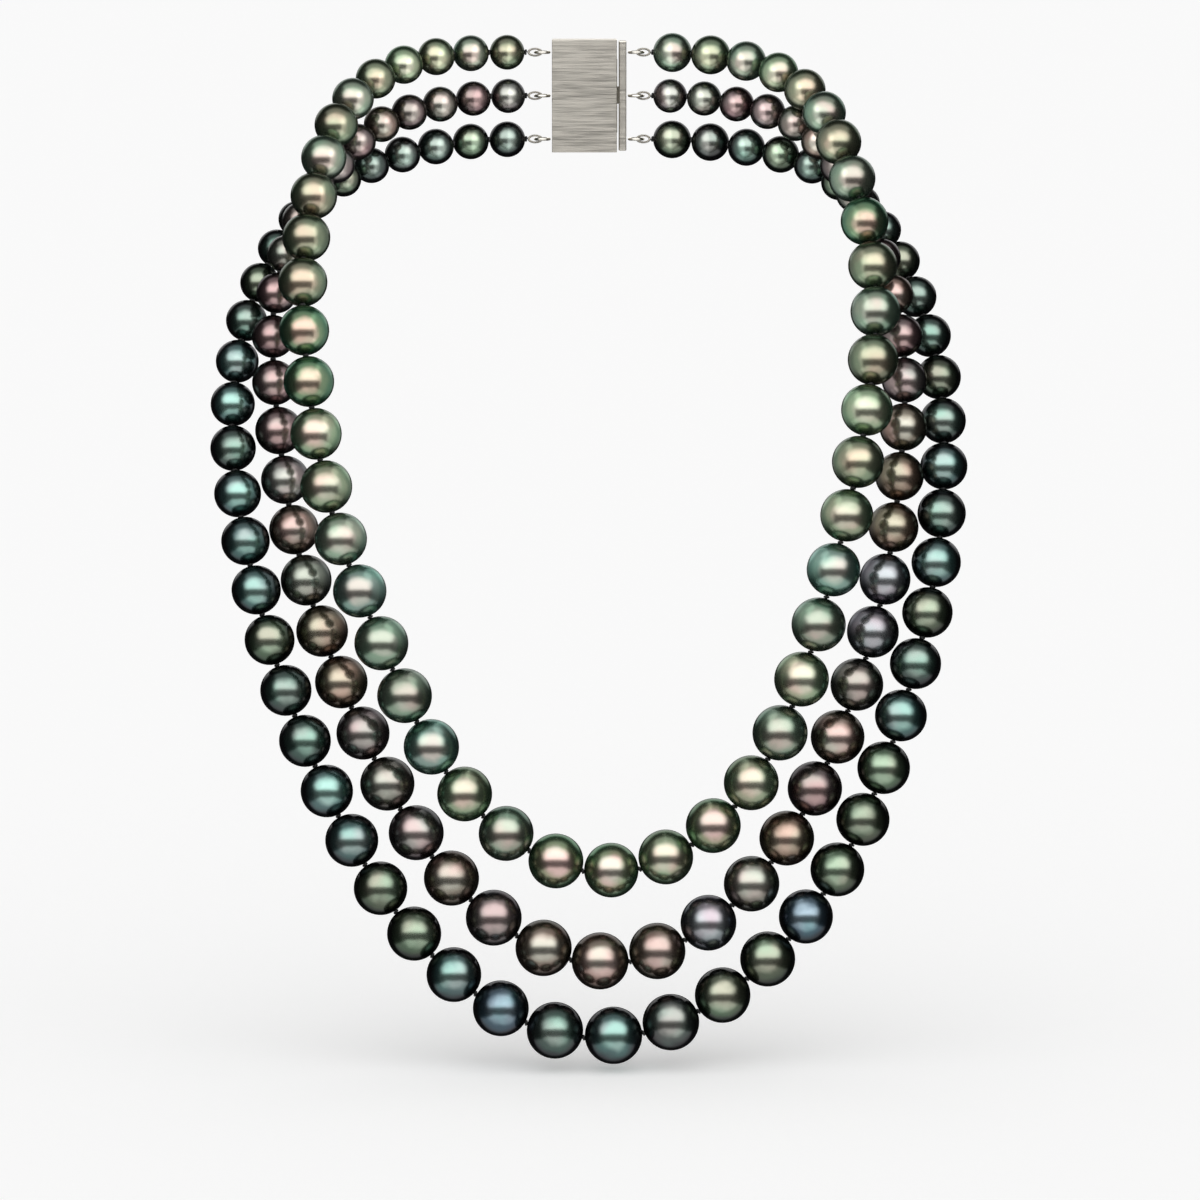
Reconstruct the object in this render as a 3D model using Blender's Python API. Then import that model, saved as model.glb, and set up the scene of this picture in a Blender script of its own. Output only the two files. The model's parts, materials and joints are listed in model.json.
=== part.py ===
"""Three-strand graduated pearl necklace with a three-row box clasp.

Lengths below are in millimetres and are turned into metres where a mesh or a
curve is made.  The origin is on the axis of the neck, level with the clasp:
+X is the wearer's left, -Y is the front, +Z is up.  The necklace is modelled
as it hangs when worn, clasp at the nape.

Each strand is a silk line, knotted between pearls.  It is cut into short runs
that meet at a knot, so that a run can swing about the knots at its ends.
"""
import math

import bmesh
import bpy
import numpy as np
from mathutils import Matrix, Vector

MM = 0.001

# ---- stringing -----------------------------------------------------------
KNOT_GAP = 0.6            # silk showing between two neighbouring pearls
KNOT_RADIUS = 0.8         # tied knot
SILK_RADIUS = 0.35        # bare silk where one run meets the next
RUN_GAP = 0.3             # clearance between two runs, centred on a knot
RING_ANGLES = (15, 50, 90, 130, 165)   # degrees from the drill hole, one ring each
LONGEST_RUN = 6           # pearls in a run that never bends
ROUTE_STEPS = 40          # samples between two points of a route

# ---- clasp ---------------------------------------------------------------
ROWS = {"inner": 10.0, "middle": 0.0, "outer": -10.0}   # height of each row
ROW_Y = 60.6              # the rows' distance behind the neck's axis
BOX_LEFT, BOX_RIGHT = -8.6, 6.4
BOX_FRONT, BOX_BACK = 59.2, 64.6    # neck side, outer side
BOX_HALF_HEIGHT = 13.0
WALL = 0.8
EDGE = 0.3                # rounded edge of the cast pieces
FIT = 0.3                 # clearance between neighbouring pieces
PLATE_THICK = 0.6
SLOT_Y = (60.0, 62.0)
SLOT_HALF = 8.9
NOTCH_Y = (60.0, 63.7)
NOTCH_HALF = 2.4
TONGUE_TIP = 0.2
TONGUE_Y = (60.3, 60.8)
TONGUE_HALF = 8.5
LEAF_FOLD = (0.5, 61.1)   # the fold of the spring, also its hinge line
LEAF_END = (5.3, 62.5)
LEAF_THICK = 0.4
LEAF_HALF = 8.2
TAB_OUTLINE = ((5.6, 62.4), (7.1, 63.0), (8.6, 63.0), (8.6, 63.6), (6.8, 63.6), (5.6, 63.0))
TAB_HALF = 2.0
BAR_X = (6.8, 8.6)
BAR_Y = (59.6, 61.4)
RING_X = 10.85            # centre of each jump ring, both sides
RING_RADIUS = 1.6
RING_WIRE = 0.35
GIMP_X = (11.0, 14.0)     # the gimp loop's two ends
GIMP_HALF_HEIGHT = 0.8
GIMP_WIRE = 0.3
LOOP_STEPS = 12           # points round a ring or a gimp loop


class Strand:
    """A row of graduated pearls along a hand-drawn route.

    route runs from the clasp's box round the wearer's right side to the
    front, then up the left side to the tongue.  centre is the point that the
    largest pearl is threaded on.  graduation pairs a pearl's place, counted
    from the centre pearl, with its diameter.
    """

    def __init__(self, name, route, centre, graduation, tails, lifts, side_knot, colour):
        self.name = name
        self.route = route
        self.centre = centre
        self.graduation = graduation
        self.tails = tails            # count and last diameter: box side, tongue side
        self.lifts = lifts            # knots, counted from the centre, that each lift turns on
        self.side_knot = side_knot    # knot where the released side leaves the nape
        self.colour = colour
        self.knots, self.pearls = self.thread()

    def diameter(self, place, side):
        """Diameter of the pearl at a place counted from the centre."""
        tail = self.tails[0] if side < 0 else self.tails[1]
        places, sizes = zip(*self.graduation, tail)
        return float(np.interp(place, places, sizes))

    def thread(self):
        """Step knots along the route; each pearl spans two neighbouring knots."""
        line = smooth_line(self.route)
        start = self.centre * ROUTE_STEPS
        knots = {}
        for side in (-1, 1):
            reach = (self.diameter(0, side) + KNOT_GAP) / 2
            here, at = next_on_line(line, start, line[start], reach, side)
            knots[side * 0.5] = Vector(here)
            for place in range(1, self.last(side) + 1):
                span = self.diameter(place, side) + KNOT_GAP
                here, at = next_on_line(line, at, here, span, side)
                knots[side * (place + 0.5)] = Vector(here)
        pearls = {}
        for place in range(-self.last(-1), self.last(1) + 1):
            low, high = knots[place - 0.5], knots[place + 0.5]
            pearls[place] = ((low + high) / 2, self.diameter(abs(place), math.copysign(1, place)))
        return knots, pearls

    def last(self, side):
        """How many pearls lie between the centre pearl and the clasp."""
        return (self.tails[0] if side < 0 else self.tails[1])[0]


def smooth_line(points):
    """Natural cubic spline through the points, centripetal spacing."""
    points = np.array(points, float)
    count = len(points)
    spans = np.linalg.norm(np.diff(points, axis=0), axis=1) ** 0.5
    system = np.eye(count)
    pull = np.zeros((count, 3))
    for i in range(1, count - 1):
        before, after = spans[i - 1], spans[i]
        system[i, i - 1:i + 2] = before, 2 * (before + after), after
        slope_after = (points[i + 1] - points[i]) / after
        slope_before = (points[i] - points[i - 1]) / before
        pull[i] = 6 * (slope_after - slope_before)
    bend = np.linalg.solve(system, pull)
    line = []
    for i, span in enumerate(spans):
        slope = (points[i + 1] - points[i]) / span - span * (2 * bend[i] + bend[i + 1]) / 6
        for u in np.arange(ROUTE_STEPS) / ROUTE_STEPS * span:
            cubic = (bend[i + 1] - bend[i]) / (6 * span) * u
            line.append(points[i] + u * (slope + u * (bend[i] / 2 + cubic)))
    line.append(points[-1])
    return np.array(line)


def next_on_line(line, at, here, distance, side):
    """First point of the line that is a straight distance away from here."""
    j = at
    while 0 <= j < len(line) and np.linalg.norm(line[j] - here) < distance:
        j += side
    if not 0 <= j < len(line):
        return None, j
    near, far = line[j - side], line[j]
    step, lead = far - near, near - here
    a, b, c = step @ step, 2 * step @ lead, lead @ lead - distance * distance
    share = (-b + math.sqrt(max(b * b - 4 * a * c, 0.0))) / (2 * a)
    return near + share * step, j - side


STRANDS = (
    Strand(
        "inner",
        [(-14.6, 60.6, 10), (-23, 59.5, 10), (-38, 51.5, 9), (-51.5, 37.5, 3), (-59, 19.5, -10),
         (-63, 3, -30), (-63, -7, -46), (-57, -20.5, -84), (-46, -28.5, -113),
         (-26.5, -31, -149), (5, -30.5, -165.5), (34.5, -30.5, -147.5), (50.5, -28, -110),
         (59, -21, -76), (63.5, -5, -44), (61.5, 8, -25), (57.5, 16.5, -12), (50, 36, 2),
         (36.5, 50, 8.5), (22.5, 58.2, 10), (14.6, 60.6, 10)],
        10, ((0, 12.0), (4, 12.15), (8, 11.6), (12, 11.15), (16, 10.25), (19, 9.1)),
        ((23, 8.01), (22, 8.99)), (6.5, 4.5, 2.5), 17.5, (0.20, 0.22, 0.18)),
    Strand(
        "middle",
        [(-14.6, 60.6, 0), (-22.5, 58.2, 0), (-37, 50.5, -2), (-52, 36, -8.5), (-67.5, 13.5, -32),
         (-70.5, 7, -49), (-69, 0.5, -71), (-63, -10.5, -102), (-49.5, -21, -136.5),
         (-31, -30, -166), (2.5, -37, -184.5), (37, -32, -166.5), (56, -22.5, -133.5),
         (65, -16, -104.5), (69.5, -6, -73), (70, 3, -53), (66, 12, -35), (52, 36, -8.5),
         (37, 50, -2), (22.5, 58.2, 0), (14.6, 60.6, 0)],
        10, ((0, 12.45), (4, 12.1), (8, 11.5), (12, 10.6), (16, 8.6)),
        ((25, 7.94), (25, 7.85)), (5.5, 3.5, 1.5), 19.5, (0.16, 0.12, 0.13)),
    Strand(
        "outer",
        [(-14.6, 60.6, -10), (-22.5, 58.6, -10), (-37, 52, -11.5), (-52.5, 41.5, -16),
         (-64.5, 28.5, -24), (-74, 18, -39.5), (-79.5, 5, -64.5), (-75.5, -11.5, -96.5),
         (-63.5, -23.5, -134.5), (-33.5, -38, -183), (5.5, -43.5, -199.5), (46.5, -35, -176),
         (69, -25, -130), (78, -10, -90), (78, 7.5, -58), (74, 15.5, -44), (66.5, 26, -28.5),
         (52.5, 41.5, -15.5), (37, 52, -11.5), (22.5, 58.6, -10), (14.6, 60.6, -10)],
        10, ((0, 12.5), (4, 11.9), (8, 11.45), (12, 10.75), (16, 9.6), (20, 8.1)),
        ((27, 8.3), (26, 8.78)), (4.5, 2.5, 1.5), 21.5, (0.05, 0.09, 0.10)),
)


# ---- scene helpers -------------------------------------------------------
def clear_scene():
    """Remove everything the file opened with."""
    for thing in list(bpy.data.objects):
        bpy.data.objects.remove(thing, do_unlink=True)


def finish(name, colour, roughness, metallic):
    """A plain Principled material."""
    material = bpy.data.materials.new(name)
    material.use_nodes = True
    shader = material.node_tree.nodes["Principled BSDF"]
    shader.inputs["Base Color"].default_value = (*colour, 1)
    shader.inputs["Roughness"].default_value = roughness
    shader.inputs["Metallic"].default_value = metallic
    material.diffuse_color = (*colour, 1)
    return material


def link(name, data, material, pivot=None):
    """Put a shape in the scene, under the empty on its joint if it has one."""
    thing = bpy.data.objects.new(name, data)
    data.materials.append(material)
    bpy.context.collection.objects.link(thing)
    if pivot is not None:
        thing.parent = pivot
        thing.matrix_parent_inverse = Matrix()
    return thing


def pivot_empty(name, point, parent=None):
    """An empty at a joint, placed in world millimetres."""
    empty = bpy.data.objects.new(name, None)
    empty.empty_display_size = 5 * MM
    bpy.context.collection.objects.link(empty)
    base = parent["at"] if parent is not None else (0, 0, 0)
    if parent is not None:
        empty.parent = parent
    empty.location = (Vector(point) - Vector(base)) * MM
    empty["at"] = tuple(point)
    return empty


def origin_of(pivot):
    """World millimetres of a pivot, or of the frame's origin."""
    return Vector(pivot["at"]) if pivot is not None else Vector()


def tube(name, points, radii, material, pivot=None, closed=False, sides=8):
    """A round tube through the points, in millimetres, with a radius at each."""
    curve = bpy.data.curves.new(name, "CURVE")
    curve.dimensions = "3D"
    curve.bevel_depth = MM
    curve.bevel_resolution = (sides - 4) // 2
    curve.use_fill_caps = not closed
    spline = curve.splines.new("POLY")
    spline.points.add(len(points) - 1)
    base = origin_of(pivot)
    for knot, point, radius in zip(spline.points, points, radii):
        knot.co = (*((Vector(point) - base) * MM), 1)
        knot.radius = radius
    spline.use_cyclic_u = closed
    spline.use_smooth = True
    return link(name, curve, material, pivot)


def block(name, low, high, material, pivot=None, edge=EDGE):
    """A box between two corners with rounded edges."""
    base = origin_of(pivot)
    low, high = (Vector(low) - base) * MM, (Vector(high) - base) * MM
    mesh = bmesh.new()
    bmesh.ops.create_cube(mesh, size=1)
    bmesh.ops.scale(mesh, vec=high - low, verts=mesh.verts)
    bmesh.ops.translate(mesh, vec=(low + high) / 2, verts=mesh.verts)
    if edge:
        bmesh.ops.bevel(mesh, geom=mesh.edges[:], offset=edge * MM, segments=2, profile=0.5,
                        affect="EDGES", material=-1)
    data = bpy.data.meshes.new(name)
    mesh.to_mesh(data)
    mesh.free()
    return link(name, data, material, pivot)


def strip(name, outline, half, material, pivot=None):
    """A piece of sheet: an outline in X and Y, drawn out to +-half in Z."""
    base = origin_of(pivot)
    mesh = bmesh.new()
    corners = [mesh.verts.new((Vector((x, y, -half)) - base) * MM) for x, y in outline]
    face = mesh.faces.new(corners)
    risen = bmesh.ops.extrude_face_region(mesh, geom=[face])["geom"]
    moved = [part for part in risen if isinstance(part, bmesh.types.BMVert)]
    bmesh.ops.translate(mesh, vec=(0, 0, 2 * half * MM), verts=moved)
    bmesh.ops.recalc_face_normals(mesh, faces=mesh.faces)
    data = bpy.data.meshes.new(name)
    mesh.to_mesh(data)
    mesh.free()
    return link(name, data, material, pivot)


def cut(target, name, low, high):
    """Cut a square-edged box out of a piece."""
    cutter = block(name, low, high, target.data.materials[0], edge=0)
    cutter.hide_render = True
    cutter.display_type = "WIRE"
    boolean = target.modifiers.new(name, "BOOLEAN")
    boolean.operation = "DIFFERENCE"
    boolean.solver = "EXACT"
    boolean.object = cutter


# ---- strands -------------------------------------------------------------
def run_shape(strand, places):
    """Points and radii of one run of threaded pearls, silk end to silk end."""
    points, radii = [], []
    for place in places:
        centre, size = strand.pearls[place]
        drill = (strand.knots[place + 0.5] - strand.knots[place - 0.5]).normalized()
        to_knot = size / 2 + KNOT_GAP / 2
        if place == places[0]:
            points.append(centre - drill * (to_knot - RUN_GAP / 2))
            radii.append(SILK_RADIUS)
        for angle in RING_ANGLES:
            turn = math.radians(angle)
            points.append(centre - drill * (size / 2 * math.cos(turn)))
            radii.append(size / 2 * math.sin(turn))
        if place == places[-1]:
            points.append(centre + drill * (to_knot - RUN_GAP / 2))
            radii.append(SILK_RADIUS)
        else:
            points.append(strand.knots[place + 0.5])
            radii.append(KNOT_RADIUS)
    return points, radii


def split(places):
    """Cut a stretch of pearls into runs no longer than the longest allowed."""
    pieces = math.ceil(len(places) / LONGEST_RUN)
    return [list(part) for part in np.array_split(places, pieces)]


def build_front(strand, nacre):
    """The runs that lift at the front, each level hung from the one above."""
    lift = None
    reaches = (*strand.lifts, None)
    for level, reach, inside in zip(("upper", "middle", "centre"), reaches, reaches[1:]):
        hinge = (strand.knots[-reach] + strand.knots[reach]) / 2
        lift = pivot_empty(f"{strand.name}_{level}_lift", hinge, lift)
        outside = math.floor(reach)
        stem = f"{strand.name}_front_{level}"
        if inside is None:
            sections = {stem: range(-outside, outside + 1)}
        else:
            nearer = math.ceil(inside)
            sections = {f"{stem}_right": range(-outside, -nearer + 1),
                        f"{stem}_left": range(nearer, outside + 1)}
        for name, places in sections.items():
            tube(name, *run_shape(strand, list(places)), nacre, lift)


def build_sides(strand, nacre):
    """The runs up both sides of the neck; the left ones swing when the clasp opens."""
    fixed = range(-strand.last(-1), -math.floor(strand.lifts[0]))
    for number, places in enumerate(split(list(fixed)), 1):
        tube(f"{strand.name}_side_right_{number}", *run_shape(strand, places), nacre)

    swing = pivot_empty(f"{strand.name}_side_swing", strand.knots[strand.lifts[0]])
    released = range(math.ceil(strand.lifts[0]), math.ceil(strand.side_knot))
    for number, places in enumerate(split(list(released)), 1):
        tube(f"{strand.name}_side_left_{number}", *run_shape(strand, places), nacre, swing)


def build_nape(strand, nacre, pivot):
    """The run between the released side and the tongue."""
    places = range(math.ceil(strand.side_knot), strand.last(1) + 1)
    tube(f"{strand.name}_nape", *run_shape(strand, list(places)), nacre, pivot)


# ---- clasp ---------------------------------------------------------------
def build_box(gold):
    """The fixed half: a cast box, open at the neck, with a slot for the tongue."""
    shell = block("clasp_box", (BOX_LEFT, BOX_FRONT, -BOX_HALF_HEIGHT),
                  (BOX_RIGHT, BOX_BACK, BOX_HALF_HEIGHT), gold)
    beyond = 2 * EDGE
    inner = BOX_HALF_HEIGHT - WALL
    cut(shell, "box_hollow", (BOX_LEFT + WALL, BOX_FRONT - beyond, -inner),
        (BOX_RIGHT - WALL, BOX_BACK - WALL, inner))
    cut(shell, "box_slot", (BOX_RIGHT - 2 * WALL, SLOT_Y[0], -SLOT_HALF),
        (BOX_RIGHT + beyond, SLOT_Y[1], SLOT_HALF))
    cut(shell, "box_notch", (BOX_RIGHT - 2 * WALL, NOTCH_Y[0], -NOTCH_HALF),
        (BOX_RIGHT + beyond, NOTCH_Y[1], NOTCH_HALF))
    plate_top = BOX_FRONT - FIT
    block("clasp_back_plate", (BOX_LEFT, plate_top - PLATE_THICK, -BOX_HALF_HEIGHT),
          (BOX_RIGHT, plate_top, BOX_HALF_HEIGHT), gold, edge=PLATE_THICK / 4)


def build_tongue(gold, pivot):
    """The drawn half: end bar, tongue, sprung leaf and thumb tab."""
    block("clasp_end_bar", (BAR_X[0], BAR_Y[0], -BOX_HALF_HEIGHT + EDGE),
          (BAR_X[1], BAR_Y[1], BOX_HALF_HEIGHT - EDGE), gold, pivot)
    block("clasp_tongue", (TONGUE_TIP, TONGUE_Y[0], -TONGUE_HALF),
          (BAR_X[0] - FIT, TONGUE_Y[1], TONGUE_HALF), gold, pivot, edge=0)
    press = pivot_empty("tab_press", (*LEAF_FOLD, 0), pivot)
    leaf = (LEAF_FOLD, LEAF_END, (LEAF_END[0], LEAF_END[1] + LEAF_THICK),
            (LEAF_FOLD[0], LEAF_FOLD[1] + LEAF_THICK))
    strip("clasp_spring_leaf", leaf, LEAF_HALF, gold, press)
    strip("clasp_thumb_tab", TAB_OUTLINE, TAB_HALF, gold, press)


def ring_points(centre, across, along, radius_a, radius_b, count):
    """An oval of points about a centre, spanned by two directions."""
    oval = []
    for i in range(count):
        turn = 2 * math.pi * i / count
        offset = across * (radius_a * math.cos(turn)) + along * (radius_b * math.sin(turn))
        oval.append(centre + offset)
    return oval


def build_rings(gold, wire, side, pivot):
    """Jump rings on one half of the clasp, and the gimp loops hooked in them."""
    x, y, z = Vector((1, 0, 0)), Vector((0, 1, 0)), Vector((0, 0, 1))
    half = "tongue" if side > 0 else "box"
    gimp_middle = (GIMP_X[0] + GIMP_X[1]) / 2
    gimp_half = (GIMP_X[1] - GIMP_X[0]) / 2
    for row, height in ROWS.items():
        centre = Vector((side * RING_X, ROW_Y, height))
        points = ring_points(centre, x, y, RING_RADIUS, RING_RADIUS, LOOP_STEPS)
        tube(f"{half}_ring_{row}", points, [RING_WIRE] * LOOP_STEPS, gold, pivot, closed=True, sides=6)
        centre = Vector((side * gimp_middle, ROW_Y, height))
        points = ring_points(centre, x, z, gimp_half, GIMP_HALF_HEIGHT, LOOP_STEPS)
        tube(f"{half}_gimp_{row}", points, [GIMP_WIRE] * LOOP_STEPS, wire, pivot, closed=True, sides=6)


def main():
    """Build the whole necklace."""
    clear_scene()
    gold = finish("white_gold", (0.80, 0.78, 0.74), 0.22, 1.0)
    wire = finish("french_wire", (0.62, 0.60, 0.57), 0.35, 1.0)
    tongue_slide = pivot_empty("clasp_release", (BOX_RIGHT, ROW_Y, 0))
    for strand in STRANDS:
        nacre = finish(f"{strand.name}_nacre", strand.colour, 0.22, 0.3)
        build_front(strand, nacre)
        build_sides(strand, nacre)
        build_nape(strand, nacre, tongue_slide)
    build_box(gold)
    build_rings(gold, wire, -1, None)
    build_tongue(gold, tongue_slide)
    build_rings(gold, wire, 1, tongue_slide)


if __name__ == "__main__":
    main()
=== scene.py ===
"""Three-row necklace of dark cultured pearls, on knotted silk with a box clasp.

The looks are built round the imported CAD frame.  Positions are in the frame's
axes: the origin is on the axis of the neck, level with the clasp, +X is the
wearer's left, -Y is the front and +Z is up.  Sizes in the classes are in
millimetres, and a mesh is scaled to metres once, when its piece is made.
"""

import json
import logging
import math
import random
from dataclasses import dataclass, field
from enum import Enum

import bmesh
import bpy
import numpy as np
from mathutils import Matrix, Vector

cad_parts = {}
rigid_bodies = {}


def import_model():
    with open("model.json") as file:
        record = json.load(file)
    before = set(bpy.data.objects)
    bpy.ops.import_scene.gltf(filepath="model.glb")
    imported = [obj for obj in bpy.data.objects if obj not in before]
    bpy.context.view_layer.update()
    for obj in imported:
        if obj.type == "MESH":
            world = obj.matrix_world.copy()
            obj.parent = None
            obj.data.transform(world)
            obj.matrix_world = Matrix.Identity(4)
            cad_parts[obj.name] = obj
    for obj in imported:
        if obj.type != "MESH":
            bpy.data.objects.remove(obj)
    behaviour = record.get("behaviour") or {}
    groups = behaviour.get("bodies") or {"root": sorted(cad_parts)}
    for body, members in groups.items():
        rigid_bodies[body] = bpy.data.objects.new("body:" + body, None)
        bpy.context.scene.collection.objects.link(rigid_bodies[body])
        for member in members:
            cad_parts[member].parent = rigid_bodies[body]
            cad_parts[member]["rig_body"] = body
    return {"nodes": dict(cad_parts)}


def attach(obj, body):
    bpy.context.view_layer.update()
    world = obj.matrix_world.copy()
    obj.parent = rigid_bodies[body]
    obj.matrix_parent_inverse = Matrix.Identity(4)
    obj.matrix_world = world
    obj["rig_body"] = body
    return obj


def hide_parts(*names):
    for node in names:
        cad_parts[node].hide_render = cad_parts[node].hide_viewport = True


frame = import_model()

LOG = logging.getLogger("necklace")
MM = 0.001

NOISE_SPAN = (0.3, 0.7)            # nearly all of a noise texture lies between these

Point = tuple[float, float, float]


# ---------------------------------------------------------------- helpers
def linear(colour: str) -> tuple[float, float, float, float]:
    """Turn an sRGB hex colour into linear light.

    Args:
        colour: a hex string such as "#8A9270".
    Returns:
        Red, green, blue and an alpha of one.
    """
    shares = [int(colour[i:i + 2], 16) / 255 for i in (1, 3, 5)]
    light = [c / 12.92 if c <= 0.04045 else ((c + 0.055) / 1.055) ** 2.4 for c in shares]
    return (*light, 1.0)


def set_sockets(node: bpy.types.Node, **inputs: object) -> None:
    """Give a node's inputs their values, or the links that feed them.

    Args:
        node: the node.
        inputs: socket names with underscores for spaces, or i0, i1 for a socket's
            number; a value, or the output socket that feeds it.
    """
    for name, value in inputs.items():
        number = name[1:] if name[0] == "i" and name[1:].isdigit() else None
        socket = node.inputs[int(number)] if number else node.inputs[name.replace("_", " ")]
        if isinstance(value, bpy.types.NodeSocket):
            node.id_data.links.new(value, socket)
        else:
            socket.default_value = value


def add_node(tree: bpy.types.NodeTree, kind: str, settings: dict | None = None,
             **inputs: object) -> bpy.types.Node:
    """Add one shader node with its settings, values and incoming links.

    Args:
        tree: the node tree of a material, a light or the world.
        kind: the node's type, such as "ShaderNodeTexNoise".
        settings: properties of the node itself.
        inputs: its sockets, written as set_sockets takes them.
    Returns:
        The new node.
    """
    node = tree.nodes.new(kind)
    for name, value in (settings or {}).items():
        setattr(node, name, value)
    set_sockets(node, **inputs)
    return node


def new_material(name: str) -> tuple[bpy.types.Material, bpy.types.NodeTree, bpy.types.Node]:
    """Make an empty node material.

    Args:
        name: the finish's plain name.
    Returns:
        The material, its tree and its Principled shader.
    """
    material = bpy.data.materials.new(name)
    material.use_nodes = True
    return material, material.node_tree, material.node_tree.nodes["Principled BSDF"]


def make_piece(name: str, mesh: bmesh.types.BMesh, finish: bpy.types.Material, body: str,
               nodes: tuple[str, ...]) -> bpy.types.Object:
    """Turn a mesh in millimetres into a piece that rides on a body.

    Args:
        name: the piece's name.
        mesh: its shape, which is freed.
        finish: the material of all its faces.
        body: the CAD body that carries it.
        nodes: CAD nodes that it stands for.
    Returns:
        The new object, at the origin.
    """
    bmesh.ops.scale(mesh, vec=(MM, MM, MM), verts=mesh.verts)
    data = keep_mesh(name, mesh)
    data.polygons.foreach_set("use_smooth", [True] * len(data.polygons))
    data.materials.append(finish)
    piece = bpy.data.objects.new(name, data)
    bpy.context.collection.objects.link(piece)
    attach(piece, body)
    if nodes:
        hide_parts(*nodes)
    LOG.info("%s: %d faces on %s", name, len(data.polygons), body)
    return piece


def keep_mesh(name: str, mesh: bmesh.types.BMesh) -> bpy.types.Mesh:
    """Store a working mesh.

    Args:
        name: the stored mesh's name.
        mesh: the working mesh, which is freed.
    Returns:
        The stored mesh.
    """
    data = bpy.data.meshes.new(name)
    mesh.to_mesh(data)
    mesh.free()
    return data


def add_copy(mesh: bmesh.types.BMesh, pattern: bpy.types.Mesh, placing: Matrix) -> None:
    """Add a copy of a pattern to a working mesh.

    Args:
        mesh: the working mesh.
        pattern: the mesh that is copied.
        placing: where the copy goes, and how large it is.
    """
    copy = pattern.copy()
    copy.transform(placing)
    mesh.from_mesh(copy)
    bpy.data.meshes.remove(copy)


def turned_to(axis: Vector, centre: Vector) -> Matrix:
    """A transform that takes +Z onto an axis and the origin to a point."""
    return Matrix.Translation(centre) @ axis.to_track_quat("Z", "Y").to_matrix().to_4x4()


# ---------------------------------------------------------------- finishes
# Per-pearl colour attributes: the heart is paled as a painted highlight and the rim darkened as a
# painted shade, both over the pearl's own tint.
TINT_NAMES = ("heart_tint_and_highlight", "body_colour", "rim_tint_and_shade")


class Overtone(Enum):
    """What colour a dark pearl is sorted as: its letter, heart, body and rim colours.

    The heart is what the nacre gives back square on, made paler as a painted highlight;
    the body colour shows round it; and the rim colour is the overtone at a slant,
    darkened almost to black as a painted shade of the dark room that the edge mirrors.
    """

    # Each row: letter, heart (paled as painted highlight), body, rim (darkened as painted shade).
    PISTACHIO = ("P", "#BAB1A2", "#869179", "#5A7059")
    SAGE = ("S", "#AEABA0", "#80907F", "#5B6F62")
    SEAFOAM = ("F", "#ACB2A8", "#769087", "#54786F")
    ROSE_GREEN = ("R", "#C0AFA7", "#83896F", "#56745A")
    OLIVE = ("O", "#B0A993", "#777E69", "#4B5947")
    DEEP_GREEN = ("G", "#B6A795", "#647D60", "#37614A")
    AUBERGINE = ("A", "#A3928F", "#68595A", "#332C2E")
    MAUVE = ("M", "#A89F9C", "#706A69", "#3D3A3D")
    ROSEWOOD = ("W", "#B1A49C", "#77685F", "#413A33")
    BRONZE = ("B", "#AE9F8F", "#726556", "#3F382E")
    TAUPE = ("T", "#A5A099", "#6D6C65", "#3B3E3A")
    VIOLET = ("V", "#A09FA5", "#68696F", "#393C43")
    PEACOCK = ("K", "#8DA6A2", "#476060", "#212329")
    TEAL = ("D", "#869C93", "#3E4F4A", "#1F2025")
    MIDNIGHT = ("N", "#7F9AA4", "#3B515D", "#1E2229")
    FOREST = ("E", "#919B89", "#4A5747", "#161C18")
    CHARCOAL = ("C", "#909993", "#484F4D", "#1D1C20")

    @property
    def letter(self) -> str:
        """The letter that a strand's order of pearls is written in."""
        return self.value[0]

    @property
    def tints(self) -> dict[str, str]:
        """The colour for each of the nacre's attributes."""
        return dict(zip(TINT_NAMES, self.value[1:]))


OVERTONES = {overtone.letter: overtone for overtone in Overtone}


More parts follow.
